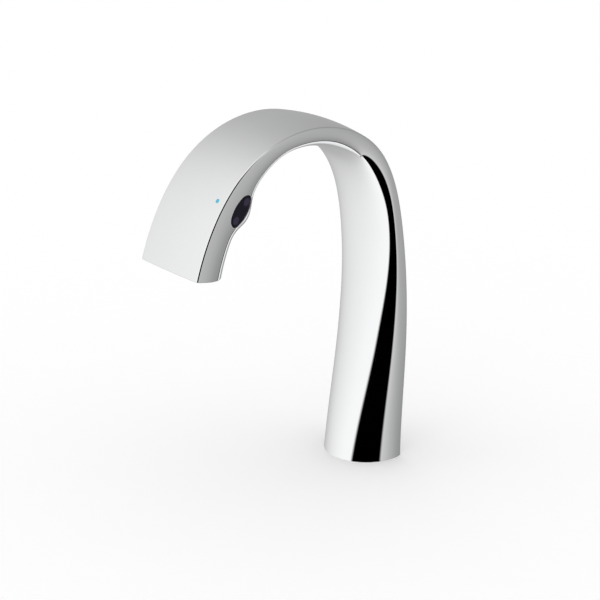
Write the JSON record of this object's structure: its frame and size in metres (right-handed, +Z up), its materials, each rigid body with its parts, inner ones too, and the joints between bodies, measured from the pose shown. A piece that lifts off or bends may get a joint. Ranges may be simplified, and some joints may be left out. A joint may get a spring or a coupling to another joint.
{
  "type": "sensor tap",
  "caption": "Deck-mounted sensor tap: arched chrome ribbon spout with a side infrared window, recessed aerator and threaded shank.",
  "frame": {"origin": "centre of the mounting shank in the plane of the deck", "axes": "+Z up, spout reaches forward along -Y, +X towards the side with the sensor window"},
  "size_m": [0.0554, 0.1616, 0.3305],
  "materials": {
    "chrome_plate": "polished chrome plate on cast brass",
    "dark_window": "dark infrared-passing acrylic",
    "black_rubber": "moulded rubber",
    "black_plastic": "moulded black plastic",
    "clear_lens": "clear epoxy",
    "smoke_lens": "smoked epoxy",
    "green_board": "solder mask on glass laminate",
    "steel": "stainless steel",
    "lead_sheath": "cable sheath",
    "blue_light": "blue light pipe",
    "white_plastic": "moulded acetal",
    "grey_plastic": "moulded plastic",
    "white_tube": "polyethylene tube",
    "brass": "machined brass"
  },
  "bodies": {
    "spout": {"spout_body": "chrome_plate", "sensor_window": "dark_window", "window_gasket": "black_rubber", "sensor_housing": "black_plastic", "sensor_cover": "black_plastic", "emitter_diode": "clear_lens", "receiver_diode": "smoke_lens", "sensor_board": "green_board", "sensor_screws": "steel", "sensor_lead": "lead_sheath", "status_light_pipe": "blue_light", "status_led": "white_plastic", "outlet_plate": "chrome_plate", "outlet_screws": "steel", "aerator_cage": "grey_plastic", "flow_straightener": "white_plastic", "aerator_screen": "steel", "flow_regulator": "white_plastic", "aerator_seal": "black_rubber", "tube_seal": "black_rubber", "water_tube": "white_tube", "mounting_shank": "brass", "base_gasket": "black_rubber", "foot_screws": "steel", "shank_plug": "black_plastic", "cable_grommet": "black_rubber", "inlet_stem": "brass"},
    "clamp_washers": {"rubber_washer": "black_rubber", "steel_washer": "steel"},
    "clamp_nut": {"clamp_nut": "brass"}
  },
  "joints": [
    {"name": "washer_slide", "type": "slide", "parent": "spout", "child": "clamp_washers", "axis": [0, 0, 1], "range_m": [-0.02, 0.015]},
    {"name": "nut_turn", "type": "hinge", "parent": "clamp_washers", "child": "clamp_nut", "pos_m": [0, 0, -0.029], "axis": [0, 0, 1], "range_deg": [-3600, 2700]}
  ],
  "couplings": [
    {"joint": "washer_slide", "follows": "nut_turn", "m_per_rad": 0.00031831}
  ]
}
